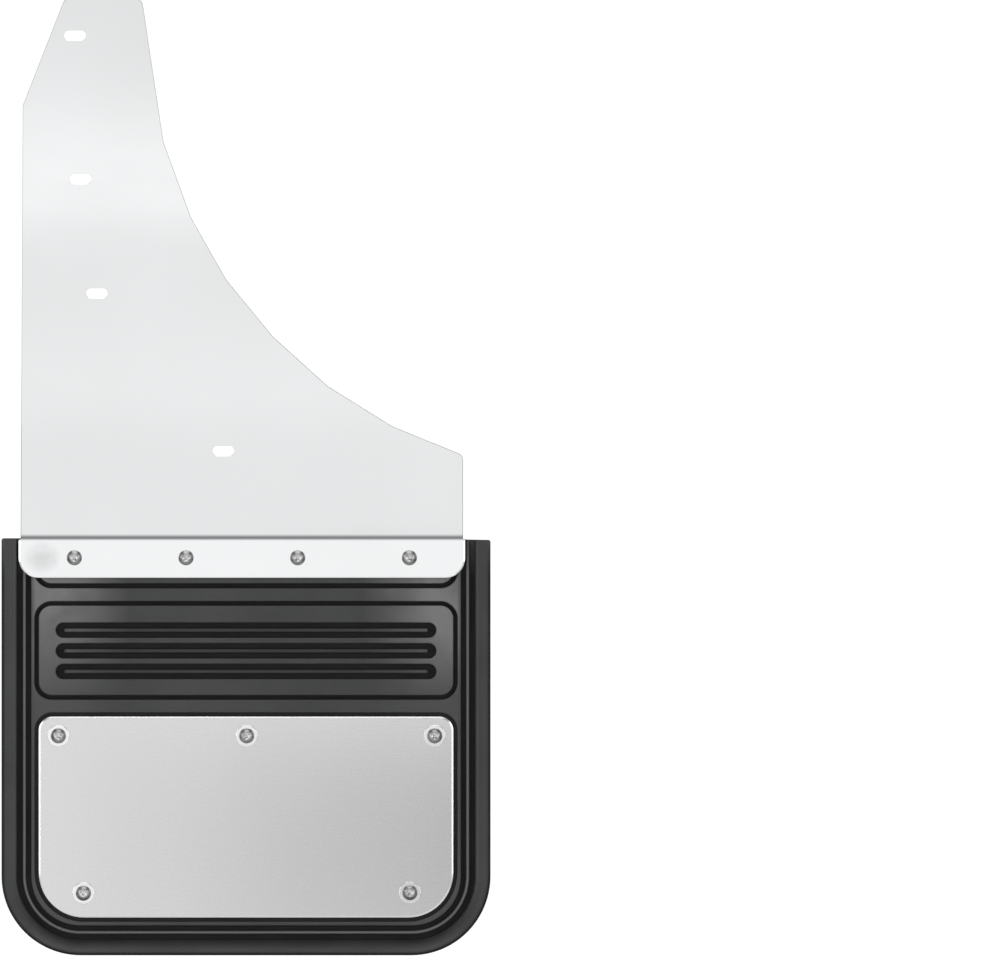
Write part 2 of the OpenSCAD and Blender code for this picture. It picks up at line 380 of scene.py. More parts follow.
class Shader:
    """A Principled material and the few nodes that its pattern needs."""

    def __init__(self, name, **constants):
        self.material = bpy.data.materials.new(name)
        self.material.use_nodes = True
        self.tree = self.material.node_tree
        self.surface = self.tree.nodes["Principled BSDF"]
        for socket, value in constants.items():
            self.surface.inputs[socket.replace("_", " ").title()].default_value = value
        self.place = self.node("ShaderNodeTexCoord").outputs["Object"]

    def node(self, kind, **settings):
        made = self.tree.nodes.new(kind)
        for key, value in settings.items():
            if key in made.inputs:
                made.inputs[key].default_value = value
            else:
                setattr(made, key, value)
        return made

    def link(self, a, b):
        self.tree.links.new(a, b)

    def noise(self, scale, stretch=(1, 1, 1), detail=3.0):
        """Noise of a number of cells a metre, stretched along the axes."""
        mapping = self.node("ShaderNodeMapping")
        mapping.inputs["Scale"].default_value = stretch
        self.link(self.place, mapping.inputs["Vector"])
        texture = self.node("ShaderNodeTexNoise", Scale=scale, Detail=detail)
        self.link(mapping.outputs["Vector"], texture.inputs["Vector"])
        return texture.outputs["Fac"]

    def spread(self, value, low, high, start=0.3, end=0.7):
        """Maps a value's start to end onto low to high."""
        mapped = self.node("ShaderNodeMapRange")
        mapped.inputs["From Min"].default_value = start
        mapped.inputs["From Max"].default_value = end
        mapped.inputs["To Min"].default_value = low
        mapped.inputs["To Max"].default_value = high
        self.link(value, mapped.inputs["Value"])
        return mapped.outputs["Result"]

    def tint(self, value, dark, light, start=0.3, end=0.7):
        """A colour between dark and light."""
        ramp = self.node("ShaderNodeValToRGB")
        ramp.color_ramp.elements[0].position = start
        ramp.color_ramp.elements[0].color = (*dark, 1)
        ramp.color_ramp.elements[1].position = end
        ramp.color_ramp.elements[1].color = (*light, 1)
        self.link(value, ramp.inputs["Fac"])
        return ramp.outputs["Color"]

    def math(self, operation, a, b):
        made = self.node("ShaderNodeMath", operation=operation)
        for socket, value in zip(made.inputs, (a, b)):
            if isinstance(value, (int, float)):
                socket.default_value = value
            else:
                self.link(value, socket)
        return made.outputs["Value"]

    def mix(self, share, a, b):
        """The first colour where share is 0 and the second where it is 1."""
        made = self.node("ShaderNodeMix", data_type="RGBA")
        for name, value in (("Factor", share), ("A", a), ("B", b)):
            socket = [s for s in made.inputs if s.name == name and s.enabled][0]
            if isinstance(value, tuple):
                socket.default_value = (*value, 1)
            else:
                self.link(value, socket)
        return [s for s in made.outputs if s.enabled][0]

    def axis(self, name):
        split = self.node("ShaderNodeSeparateXYZ")
        self.link(self.place, split.inputs["Vector"])
        return split.outputs[name]

    def blob(self, x, z, half_w, half_h):
        """One at a point of the front, falling to nothing on an ellipse round it."""
        across = self.math("DIVIDE", self.math("SUBTRACT", self.axis("X"), x), half_w)
        up = self.math("DIVIDE", self.math("SUBTRACT", self.axis("Z"), z), half_h)
        square = self.math("ADD", self.math("POWER", across, 2), self.math("POWER", up, 2))
        return self.spread(square, 1, 0, 0, 1)

    def bump(self, height, distance, strength=1.0):
        made = self.node("ShaderNodeBump")
        made.inputs["Strength"].default_value = strength
        made.inputs["Distance"].default_value = distance
        self.link(height, made.inputs["Height"])
        self.link(made.outputs["Normal"], self.surface.inputs["Normal"])

    def drive(self, socket, value):
        self.link(value, self.surface.inputs[socket])


def rubber_material():
    """Black rubber, with a painted highlight on the narrow ridge, a painted sheen towards the ends
    of the ribbed panel, and painted shade in the grooves and at the rim's edges.
    """
    shader = Shader("moulded_rubber", metallic=0.0)
    shader.surface.inputs["Specular IOR Level"].default_value = 0.5
    painted_shade, ridge_highlight = (
        shader.node("ShaderNodeAttribute", attribute_name=name).outputs["Fac"]
        for name in ("painted_shade", "ridge_highlight")
    )
    plain = shader.tint(shader.noise(14, detail=4), (0.026, 0.027, 0.027), (0.042, 0.043, 0.043))
    out = shader.math("ABSOLUTE", shader.axis("X"), 0)
    towards_the_ends = shader.spread(out, 0, 1, 0.085, 0.135)
    within_the_grooves = shader.spread(out, 1, 0, 0.153, 0.157)
    up_from_the_weight = shader.spread(shader.axis("Z"), 0.1, 1, -0.115, -0.055)
    on_the_front = shader.spread(shader.axis("Y"), 1, 0, 0.001, 0.005)
    # Painted sheen: lighter blotches towards the ends of the ribbed panel, above the weight plate,
    # on front faces only.
    panel_sheen = shader.noise(24, detail=3)
    for share in (towards_the_ends, within_the_grooves, up_from_the_weight, on_the_front):
        panel_sheen = shader.math("MULTIPLY", panel_sheen, share)
    panel_sheen_painted = shader.mix(shader.spread(panel_sheen, 0, 1, 0, 0.55), plain, (0.17, 0.172, 0.17))
    # Painted highlight: the narrow ridge is painted lighter grey.
    ridge_highlighted = shader.mix(ridge_highlight, panel_sheen_painted, grey(0.12))
    # Painted shade: the grooves and the rim's edges are painted near black.
    shader.drive("Base Color", shader.mix(painted_shade, ridge_highlighted, grey(0.003)))
    rough = shader.spread(shader.noise(30, detail=4), 0.44, 0.56)
    shader.drive("Roughness", shader.math("ADD", rough, shader.math("MULTIPLY", painted_shade, 0.35)))
    shader.bump(shader.noise(1500, detail=2), 0.00004, 0.6)
    return shader.material


def polished_material():
    """Bright sheet, with a painted dark line along the bend that stands in for the bend's shade,
    and a painted dim reflection at the flange's left end."""
    shader = Shader("polished_stainless", metallic=1.0)
    line_bottom, line_middle, line_top = -0.0022, 0.0003, 0.0027
    dim_reflection_x, dim_reflection_z, dim_reflection_half_w, dim_reflection_half_h = -0.1485, -0.0145, 0.0145, 0.0125
    cloud = shader.noise(6, stretch=(1, 1, 0.6), detail=2)
    clean = shader.tint(cloud, (0.82, 0.83, 0.835), (0.86, 0.867, 0.873))
    # Painted shade: a dark line along the bend.
    below = shader.spread(shader.axis("Z"), 0, 1, line_bottom, line_middle)
    above = shader.spread(shader.axis("Z"), 1, 0, line_middle, line_top)
    bend_shade = shader.math("MULTIPLY", below, above)
    bend_shaded = shader.mix(bend_shade, clean, (0.16, 0.165, 0.17))
    # Painted reflection: a soft dim patch at the flange's left end.
    dim_reflection = shader.blob(dim_reflection_x, dim_reflection_z, dim_reflection_half_w, dim_reflection_half_h)
    dim_reflection_share = shader.math("MULTIPLY", dim_reflection, shader.spread(shader.noise(90), 0.45, 1.2))
    shader.drive("Base Color", shader.mix(dim_reflection_share, bend_shaded, (0.66, 0.665, 0.67)))
    shader.drive("Roughness", shader.spread(shader.noise(60, stretch=(0.3, 1, 1)), 0.06, 0.09))
    shader.bump(shader.noise(900, stretch=(0.04, 1, 1), detail=2), 0.000001, 0.5)
    return shader.material


def brushed_material():
    """Satin sheet, brushed along X."""
    shader = Shader("brushed_stainless", metallic=1.0)
    cloud = shader.noise(7, stretch=(1, 1, 0.5), detail=2)
    grain = shader.noise(3000, stretch=(0.015, 1, 1))
    shader.surface.inputs["Anisotropic"].default_value = 0.3
    shader.drive("Base Color", shader.tint(cloud, (0.675, 0.68, 0.675), grey(0.71)))
    shader.drive("Roughness", shader.spread(grain, 0.25, 0.29))
    shader.bump(grain, 0.0000006, 0.3)
    return shader.material


def screw_material():
    """Dull steel, with a painted highlight: the socket where the key goes is painted brighter."""
    shader = Shader("screw_steel", metallic=1.0)
    flat = shader.node("ShaderNodeVectorMath", operation="MULTIPLY")
    flat.inputs[1].default_value = (1, 0, 1)
    shader.link(shader.place, flat.inputs[0])
    length = shader.node("ShaderNodeVectorMath", operation="LENGTH")
    shader.link(flat.outputs["Vector"], length.inputs[0])
    socket_edge = SOCKET_LEAD_R * MM
    fade = 0.25 * MM
    # Painted highlight: the socket is painted brighter than the dome.
    socket = shader.spread(length.outputs["Value"], 1, 0, socket_edge, socket_edge + fade)
    dome = shader.tint(shader.noise(350), grey(0.24), grey(0.32))
    shader.drive("Base Color", shader.mix(socket, dome, grey(0.6)))
    rough = shader.spread(shader.noise(900), 0.32, 0.40)
    smoother = shader.math("MULTIPLY", socket, 0.15)
    shader.drive("Roughness", shader.math("SUBTRACT", rough, smoother))
    shader.bump(shader.noise(2500), 0.000006, 0.4)
    return shader.material


def hardware_material(name, dark, light, rough_low, rough_high):
    shader = Shader(name, metallic=1.0)
    shader.drive("Base Color", shader.tint(shader.noise(350), dark, light))
    shader.drive("Roughness", shader.spread(shader.noise(900), rough_low, rough_high))
    shader.bump(shader.noise(2500), 0.000008, 0.4)
    return shader.material


def nylon_material():
    shader = Shader("nylon", metallic=0.0)
    cloud = shader.noise(600)
    shader.drive("Base Color", shader.tint(cloud, (0.74, 0.73, 0.67), (0.84, 0.83, 0.77)))
    shader.drive("Roughness", shader.spread(shader.noise(900), 0.35, 0.5))
    shader.bump(shader.noise(3000), 0.00001, 0.4)
    return shader.material


RUBBER = rubber_material()
POLISHED = polished_material()
BRUSHED = brushed_material()
SCREW_STEEL = screw_material()
WASHER_STEEL = hardware_material("washer_steel", grey(0.84), grey(0.90), 0.20, 0.26)
ZINC = hardware_material("zinc_plate", (0.52, 0.54, 0.57), (0.66, 0.68, 0.70), 0.26, 0.40)
NYLON = nylon_material()


# ---- Rubber flap: one moulding, with extra edge loops just below the flange ----

FLANGE_BOLTS = [f"bracket_screw_{i}" for i in range(1, 5)]
WEIGHT_BOLTS = [f"weight_screw_{i}" for i in range(1, 6)]
FLEX_START = bracket_low[2]
FLEX_LEN = 26.0
FLEX_STEP = 2.0


def bolt_centre(node):
    low, high = cad_box(node)
    return (low[0] + high[0]) / 2, (low[2] + high[2]) / 2


def rim_profile():
    """Distance in from the flap's outer edge, and depth, from the back round to the web."""
    draft = 0.2
    corners = [
        ((1.6, FLAP_BACK), 0),
        ((0, FLAP_BACK), 0.8),
        ((0, RIM_FRONT), 2.4),
        ((2.7, RIM_FRONT), 0),
        ((4.0, RIM_FRONT), 3),
        ((5.6, RIM_FRONT + 0.2), 9),
        ((7.4, RIM_FRONT), 3),
        ((RIM_W, RIM_FRONT), 3.0),
        ((RIM_W + 2 * draft, GROOVE_FLOOR), 0.8),
        ((RIDGE_OUTER - draft, GROOVE_FLOOR), 0.8),
        ((RIDGE_OUTER, WEB_FRONT), 1.15),
        ((RIDGE_INNER, WEB_FRONT), 1.15),
        ((RIDGE_INNER + draft, GROOVE_FLOOR), 0.8),
        ((WEB_OUTER - draft, GROOVE_FLOOR), 0.8),
        ((WEB_OUTER, WEB_FRONT), 0.95),
        ((WEB_OUTER + 0.95, WEB_FRONT), 0),
    ]
    return filleted(corners)


def groove_profile(width, outer_y, inner_y):
    """A groove from its outer lip to its inner lip, as distance out from the inner outline."""
    draft, floor_r = 0.25, 0.7
    corners = [
        ((width + LIP_RUN, outer_y), 0),
        ((width, outer_y), LIP_R),
        ((width - draft, GROOVE_FLOOR), floor_r),
        ((draft, GROOVE_FLOOR), floor_r),
        ((0, inner_y), LIP_R),
        ((-LIP_RUN, inner_y), 0),
    ]
    return filleted(corners)


def rib_profile():
    """A recessed slot with a round bead along its middle, from the slot's edge inwards."""
    draft, bead_foot, bead_edge, bead_flat = 0.3, 3.7, 4.5, 5.55
    corners = [
        ((LIP_RUN, PANEL_FRONT), 0),
        ((0, PANEL_FRONT), LIP_R),
        ((-draft, GROOVE_FLOOR), 0.8),
        ((-bead_foot, GROOVE_FLOOR), 0.5),
        ((-bead_edge, RIB_BEAD_FRONT), 1.2),
        ((-bead_flat, RIB_BEAD_FRONT), 0),
    ]
    return filleted(corners)


def pocket_profile():
    """The pocket's wall, as distance out from the weight plate's outline."""
    draft, floor_r, floor_run = 0.2, 0.4, 1.4
    corners = [
        ((POCKET_GAP + LIP_RUN, WEB_FRONT), 0),
        ((POCKET_GAP, WEB_FRONT), LIP_R),
        ((POCKET_GAP - draft, POCKET_FLOOR), floor_r),
        ((POCKET_GAP - floor_run, POCKET_FLOOR), 0),
    ]
    return filleted(corners)


def weight_outline():
    return tablet(plate_high[0], plate_high[2], plate_low[2], WEIGHT_TOP_R, WEIGHT_BOTTOM_R)


def inset(x, z):
    """How far a point lies inside the flap's outer edge."""
    across = abs(x) - (FLAP_HALF_W - FLAP_CORNER_R)
    down = FLAP_BOTTOM + FLAP_CORNER_R - z
    if across > 0 and down > 0:
        return FLAP_CORNER_R - math.hypot(across, down)
    return min(FLAP_HALF_W - abs(x), z - FLAP_BOTTOM)


def mark_rubber(data):
    """Records two marks of painted light for the rubber at each point. The first is painted shade,
    darker the deeper a point lies in a groove, the nearer it is to the rim's outer edge, and
    towards the groove on the rim's lower part; the shaded rubber is also rougher. The second is a
    painted highlight along the top of the narrow ridge."""
    fade = 1.8
    edge_w, edge_top, edge_back = 3, 1.5, 1
    grooves_from, groove_mouth = RIM_W - 0.5, 0.3
    ridge_mid = (RIDGE_OUTER + RIDGE_INNER) / 2
    ridge_half, ridge_depth = (RIDGE_INNER - RIDGE_OUTER) / 2, 0.8
    low_from, low_fade, low_to = 3.5, 6, RIM_W + 1
    painted_shade = data.attributes.new("painted_shade", "FLOAT", "POINT")
    ridge_highlight = data.attributes.new("ridge_highlight", "FLOAT", "POINT")
    for vertex, shade_here, highlight_here in zip(data.vertices, painted_shade.data, ridge_highlight.data):
        x, y, z = vertex.co / MM
        if z > FLAP_TOP - edge_top or y > FLAP_BACK - edge_back:
            continue
        inwards = inset(x, z)
        # Painted shade within a few millimetres of the flap's outer edge.
        shades = [0, min(1, (edge_w - inwards) / fade)]
        if inwards > grooves_from:
            # Painted shade, darker the deeper a point lies in a groove.
            shades.append(min(1, (y - groove_mouth) / fade))
            # Painted highlight along the top of the narrow ridge.
            on_ridge = max(0, 1 - abs(inwards - ridge_mid) / ridge_half)
            highlight_here.value = max(0, 1 - y / ridge_depth) * on_ridge
        # Painted shade on the rim's lower part, darker towards the groove.
        if inwards < low_to:
            round_corner = (FLAP_BOTTOM + FLAP_CORNER_R - z) / (FLAP_CORNER_R - inwards)
            low = min(1, max(0, round_corner))
            shades.append(low * min(1, (inwards - low_from) / low_fade))
        shade_here.value = max(shades)


def add_ribs(body):
    """The panel's beaded slots. Each bead is shorter than its slot. Returns the slots' edges."""
    shorter_from, shorter_by = 1, 0.6
    edges = []
    for row in (-1, 0, 1):
        outline = obround((0, RIB_MID + row * RIB_PITCH), 2 * RIB_HALF_LEN, RIB_SLOT_H)
        loops = []
        for d, y in rib_profile():
            loop = at_depth(grown(outline, d), y)
            loop[:, 0] -= np.sign(loop[:, 0]) * max(0, -d - shorter_from) * shorter_by
            loops.append(loop)
        body.sweep(loops)
        body.fill([outline_of(loops[-1])], flat_at(RIB_BEAD_FRONT))
        edges.append(loops[0])
    return edges


def build_rubber():
    body = Builder()
    rim = [
        at_depth(u_path(FLAP_HALF_W - d, FLAP_BOTTOM + d, FLAP_CORNER_R - d), y)
        for d, y in rim_profile()
    ]
    pad = [
        at_depth(u_path(PAD_HALF_W + d, PAD_BOTTOM - d, PAD_CORNER_R + d, 10), y)
        for d, y in groove_profile(PAD_GROOVE, WEB_FRONT, WEB_FRONT)
    ]
    panel_outline = tablet(PANEL_HALF_W, PANEL_TOP, PANEL_BOTTOM, PANEL_CORNER_R, PANEL_CORNER_R)
    panel = [
        at_depth(grown(panel_outline, d), y)
        for d, y in groove_profile(PANEL_GROOVE, WEB_FRONT, PANEL_FRONT)
    ]
    pocket = [at_depth(grown(weight_outline(), d), y) for d, y in pocket_profile()]
    body.sweep(rim, closed=False)
    body.sweep(pad, closed=False)
    body.sweep(panel)
    body.sweep(pocket)
    ribs = add_ribs(body)

    flange_holes = [circle(bolt_centre(n), RUBBER_HOLE_R, 24) for n in FLANGE_BOLTS]
    weight_holes = [circle(bolt_centre(n), RUBBER_HOLE_R, 24) for n in WEIGHT_BOLTS]
    for hole in flange_holes:
        body.sweep([at_depth(hole, WEB_FRONT), at_depth(hole, FLAP_BACK)])
    for hole in weight_holes:
        body.sweep([at_depth(hole, POCKET_FLOOR), at_depth(hole, FLAP_BACK)])

    web = [outline_of(loops[i]) for loops, i in ((rim, -1), (pad, 0), (panel, 0), (pocket, 0))]
    body.fill(web, flat_at(WEB_FRONT))
    body.fill([outline_of(pad[-1])] + flange_holes, flat_at(WEB_FRONT))
    body.fill([outline_of(panel[-1])] + [outline_of(r) for r in ribs], flat_at(PANEL_FRONT))
    body.fill([outline_of(pocket[-1])] + weight_holes, flat_at(POCKET_FLOOR))
    body.fill([outline_of(rim[0])] + flange_holes + weight_holes, flat_at(FLAP_BACK))

    across = [loop[0][:2] for loop in rim + pad] + [loop[-1][:2] for loop in (rim + pad)[::-1]]
    body.fill([np.array(across)], lambda p: (p[0], p[1], flap_top(p[0])))

    cuts = np.arange(FLEX_START, FLEX_START - FLEX_LEN - FLEX_STEP, -FLEX_STEP)
    flap = body.make("moulded_rubber_flap", RUBBER, cuts)
    mark_rubber(flap.data)
    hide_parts("rubber_flap", "flap_clamped_edge")
    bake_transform(flap)


# ---- Sheet parts ----


def sheet(outline, holes, front, back, bevel, wide=1.0):
    """A flat sheet with a bevel, given as its width and depth, round its front edges. Wide scales
    the outline's bevel. It is one number, or one for each of the outline's points."""
    past_bevel, back_r, spacing = 1.0, 0.25, 12.0
    body = Builder()
    edges = []
    rims = [(outline, bevel, -wide)] + [(hole, HOLE_BEVEL, 1) for hole in holes]
    for loop, (width, depth), way in rims:
        run = width + past_bevel
        corners = [
            ((run, front), 0),
            ((width, front), width / 3),
            ((0, front + depth), depth / 3),
            ((0, back), back_r),
            ((run, back), 0),
        ]
        profile = filleted(corners, 4)
        edges.append([at_depth(grown(loop, way * d), y) for d, y in profile])
        body.sweep(edges[-1])
    body.fill([outline_of(loops[0]) for loops in edges], flat_at(front), spacing)
    body.fill([outline_of(loops[-1]) for loops in edges], flat_at(back), spacing)
    return body


def build_weight_plate():
    holes = [circle(bolt_centre(n), HOLE_R) for n in WEIGHT_BOLTS]
    bevel = (1.2, 0.62)
    body = sheet(weight_outline(), holes, plate_low[1], plate_high[1], bevel)
    piece = body.make("weight_plate_satin", BRUSHED)
    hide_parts("weight_plate")
    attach(piece, "flap")


def bracket_outline():
    """The bracket's blank: X, and distance along the sheet from the bend line."""
    left, right, bottom = bracket_low[0], bracket_high[0], bracket_low[2]
    ledge_r, foot_r = 0.6, 0.3
    corners = [
        ((left, bottom), FLANGE_CORNER_R),
        ((right, bottom), FLANGE_CORNER_R),
        ((right, FLANGE_TOP), ledge_r),
        ((PLATE_RIGHT, FLANGE_TOP), foot_r),
        *[(p, PLATE_CORNER_R) for p in reversed(ARCH_CORNERS)],
        ((PLATE_TOP_RIGHT, PLATE_LEN), PLATE_CORNER_R),
        ((PLATE_TOP_LEFT, PLATE_LEN), PLATE_CORNER_R),
        (SHOULDER, PLATE_CORNER_R),
        ((PLATE_LEFT, FLANGE_TOP), foot_r),
        ((left, FLANGE_TOP), ledge_r),
    ]
    return filleted(corners, 8, closed=True)


def bend_run():
    """How far the bend reaches along the sheet, to each side of the bend line."""
    return BEND_OUTER_R * math.tan(KICK / 2)


def kicked(p):
    """Bends the flat blank about X, so that the mounting plate leans over the flange."""
    x, y, s = p
    run = bend_run()
    turn = KICK * np.clip((s + run) / (2 * run), 0, 1)
    r = BEND_OUTER_R + y
    beyond = max(s - run, 0)
    below = min(s + run, 0)
    return (
        x,
        -BEND_OUTER_R + r * math.cos(turn) - beyond * math.sin(KICK),
        -run + r * math.sin(turn) + beyond * math.cos(KICK) + below,
    )


def build_bracket():
    slots = [obround(c, SLOT_LEN, SLOT_H) for c in SLOT_CENTRES]
    holes = [circle(bolt_centre(n), HOLE_R) for n in FLANGE_BOLTS]
    outline = bracket_outline()
    flange_bevel, plate_share = (0.9, 0.45), 0.3
    wide = np.where(outline[:, 1] < FLANGE_TOP - 0.5, 1.0, plate_share)
    body = sheet(outline, slots + holes, -SHEET_T, 0, flange_bevel, wide)
    cuts = np.linspace(-bend_run(), bend_run(), 7)
    piece = body.make("bracket_sheet", POLISHED, cuts, kicked)
    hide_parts("bracket")
    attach(piece, "bracket")


# ---- Fasteners, built round their own axis, which points along +Y from the bearing face ----


def ring(radius, y):
    """A loop round the axis. The radius is a number or a function of the angle."""
    angles = np.arange(RING_POINTS) * 2 * math.pi / RING_POINTS
    radii = np.array([radius(a) if callable(radius) else radius for a in angles])
    return at_depth(radii[:, None] * np.column_stack([np.cos(angles), np.sin(angles)]), y)


def hexagon(across_flats):
    """A hexagon's radius as a function of the angle."""
    sixth = math.pi / 3
    return lambda a: across_flats / 2 / math.cos((a + sixth / 2) % sixth - sixth / 2)


def chamfered_hexagon(across_flats, cone_r):
    """A hexagon's radius where a cone of this radius cuts off its corners."""
    flats = hexagon(across_flats)
    return lambda a: min(flats(a), cone_r)


def thread_radius(y):
    """The thread's radius at a depth along the bolt, with a chamfered tip."""
    tip = BOLT_R - max(0, y - (BOLT_LEN - TIP_LEN)) * TIP_SLOPE

    def radius(a):
        phase = (y / THREAD_PITCH - a / (2 * math.pi)) % 1
        return min(BOLT_R - THREAD_DEPTH * (1 - abs(2 * phase - 1)), tip)

    return radius


def screw_mesh():
    """A button head with a hexagon socket, a short plain neck and a thread."""
    cap_r = (HEAD_R**2 + HEAD_H**2) / (2 * HEAD_H)

    def cap_y(r):
        return cap_r - HEAD_H - math.sqrt(cap_r**2 - r**2)

    lip_y = cap_y(SOCKET_LEAD_R)
    floor_y = -HEAD_H + SOCKET_DEPTH
    drill_r, drill_y, drill_tip = 1.2, floor_y + 0.25, floor_y + 0.35
    lead_depth, tip_r = 0.8, BOLT_R - 0.95
    socket = hexagon(SOCKET_AF)
    rows = [
        ring(drill_r, drill_y),
        ring(lambda a: socket(a) * 0.96, floor_y),
        ring(socket, floor_y - 0.1),
        ring(socket, lip_y + lead_depth),
        ring(SOCKET_LEAD_R * 0.97, lip_y + 0.02),
    ]
    rows += [ring(r, cap_y(r)) for r in np.linspace(SOCKET_LEAD_R + 0.1, HEAD_R - 0.12, 12)]
    head_edge = [(HEAD_R, -0.22), (HEAD_R, -0.08), (HEAD_R - 0.1, 0), (BOLT_R + 0.3, 0)]
    neck = [(BOLT_R, 0.3), (BOLT_R, THREAD_START - 0.2)]
    rows += [ring(r, y) for r, y in head_edge + neck]
    turns = np.arange(THREAD_START, BOLT_LEN, THREAD_PITCH / 8)
    rows += [ring(thread_radius(y), y) for y in turns]
    rows.append(ring(tip_r, BOLT_LEN))
    body = Builder()
    made = body.sweep(rows)
    body.pole(made[0], (0, drill_tip, 0))
    body.pole(made[-1], (0, BOLT_LEN, 0))
    return body


def washer_mesh(outer_r, thickness):
    corners = [(HOLE_R, 0), (outer_r, 0), (outer_r, thickness), (HOLE_R, thickness)]
    profile = rounded(corners, [0.35, 0.45, 0.15, 0.15], 4)
    body = Builder()
    body.sweep([ring(r, y) for r, y in profile], joined=True)
    return body


def nut_mesh():
    """A lock nut: a chamfered hexagon, and a collar that holds the insert."""
    chamfer_h, chamfer_slope, flat_r = 0.7, 2.0, NUT_AF / 2
    bore_r, countersink = BOLT_R + 0.02, 0.45
    rows = []
    for y in np.linspace(0, chamfer_h, 8):
        cone_r = flat_r - 0.25 + y * chamfer_slope
        rows.append(ring(chamfered_hexagon(NUT_AF, cone_r), y))
    for y in np.linspace(chamfer_h, 0, 8):
        cone_r = flat_r - 0.3 + y * chamfer_slope
        rows.append(ring(chamfered_hexagon(NUT_AF, cone_r), NUT_HEX_H - y))
    collar_foot_r, collar_r, mouth_r = 5.0, 4.9, 3.62
    collar = [
        ((collar_foot_r, NUT_HEX_H), 0),
        ((collar_r, NUT_H), 0.9),
        ((mouth_r, NUT_H), 0.2),
        ((mouth_r, INSERT_TOP), 0),
        ((INSERT_R, INSERT_TOP), 0),
    ]
    bore = [
        (INSERT_R, INSERT_BOTTOM),
        (bore_r, INSERT_BOTTOM),
        (bore_r, countersink),
        (BOLT_R + countersink, 0),
    ]
    rows += [ring(r, y) for r, y in [*filleted(collar, 5), *bore]]
    body = Builder()
    body.sweep(rows, joined=True)
    return body


def insert_mesh():
    """The nylon ring, with a little room round it in the nut's collar."""
    room = 0.02
    inner_r, outer_r = BOLT_R + 0.01, INSERT_R - room
    bottom, top = INSERT_BOTTOM + room, INSERT_TOP - room
    corners = [(inner_r, bottom), (outer_r, bottom), (outer_r, top), (inner_r, top)]
    profile = rounded(corners, [0.1] * 4, 3)
    body = Builder()
    body.sweep([ring(r, y) for r, y in profile], joined=True)
    return body


def build_fasteners(kind, group, count, body_name, builder, material, slot):
    """One piece for each CAD node of this kind. They share a mesh, and each has its own turn."""
    data = None
    for i in range(1, count + 1):
        node = f"{group}_{kind}_{i}"
        low, high = cad_box(node)
        x, z = (low[0] + high[0]) / 2, (low[2] + high[2]) / 2
        from_tip = {"screw": high[1] - BOLT_LEN, "nut_insert": high[1] - INSERT_TOP}
        bearing = from_tip.get(kind, low[1])
        turn = math.radians(37 * i + 11 * len(group))
        if data is None:
            piece = builder.make(f"{node}_detail", material)
            data = piece.data
            piece.location = Vector((x, bearing, z)) * MM
            piece.rotation_euler = (0, turn, 0)
        else:
            piece = placed(f"{node}_detail", data, (x, bearing, z), turn)
        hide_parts(node)
        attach(piece, body_name)


def washer_for(node):
    low, high = cad_box(node)
    return washer_mesh((high[0] - low[0]) / 2, high[1] - low[1])


def build_all_fasteners():
    for group, count, body_name in (("bracket", 4, "bracket"), ("weight", 5, "flap")):
        jobs = [
            ("screw", screw_mesh(), SCREW_STEEL, "stainless_screw"),
            ("nut", nut_mesh(), ZINC, "zinc_plated_nut"),
            ("nut_insert", insert_mesh(), NYLON, "nylon"),
        ]
        if group == "bracket":
            jobs.append(("washer", washer_for("bracket_washer_1"), ZINC, "zinc_plated_washer"))
        else:
            rear = washer_for("weight_rear_washer_1")
            front = washer_for("weight_front_washer_1")
            jobs.append(("rear_washer", rear, ZINC, "zinc_plated_washer"))
            jobs.append(("front_washer", front, WASHER_STEEL, "stainless_washer"))
        for kind, builder, material, slot in jobs:
            build_fasteners(kind, group, count, body_name, builder, material, slot)


# ---- Stage, light and camera, in metres ----

VIEW_WIDTH = 0.7272
VIEW_CENTRE = (0.1847, 0.0435)
CAMERA_DISTANCE = 20.0
SENSOR = 36.0
FLOOR_Z = FLAP_BOTTOM * MM - 0.03
FLOOR_R = 1.8


def disc_mesh(name, radius, material):
    mesh = bmesh.new()
    bmesh.ops.create_circle(mesh, cap_ends=True, segments=96, radius=radius)
    data = bpy.data.meshes.new(name)
    mesh.to_mesh(data)
    mesh.free()
    data.materials.append(material)
    return data


def build_floor():
    """A pale round floor that thins out at its rim, so that it has no horizon."""
    shader = Shader("pale_floor", roughness=0.9, base_color=(0.94, 0.94, 0.94, 1))
    gradient = shader.node("ShaderNodeTexGradient", gradient_type="SPHERICAL")
    mapping = shader.node("ShaderNodeMapping")
    mapping.inputs["Scale"].default_value = (1 / FLOOR_R, 1 / FLOOR_R, 1 / FLOOR_R)
    shader.link(shader.place, mapping.inputs["Vector"])
    shader.link(mapping.outputs["Vector"], gradient.inputs["Vector"])
    shader.drive("Alpha", shader.spread(gradient.outputs["Fac"], 0, 1, 0.05, 0.6))
    floor = bpy.data.objects.new("pale_floor", disc_mesh("pale_floor", FLOOR_R, shader.material))
    floor.location = (0, 0, FLOOR_Z)
    bpy.context.scene.collection.objects.link(floor)


def even(level):
    """The stops of a card that has one brightness."""
    return [(0, level), (1, level)]


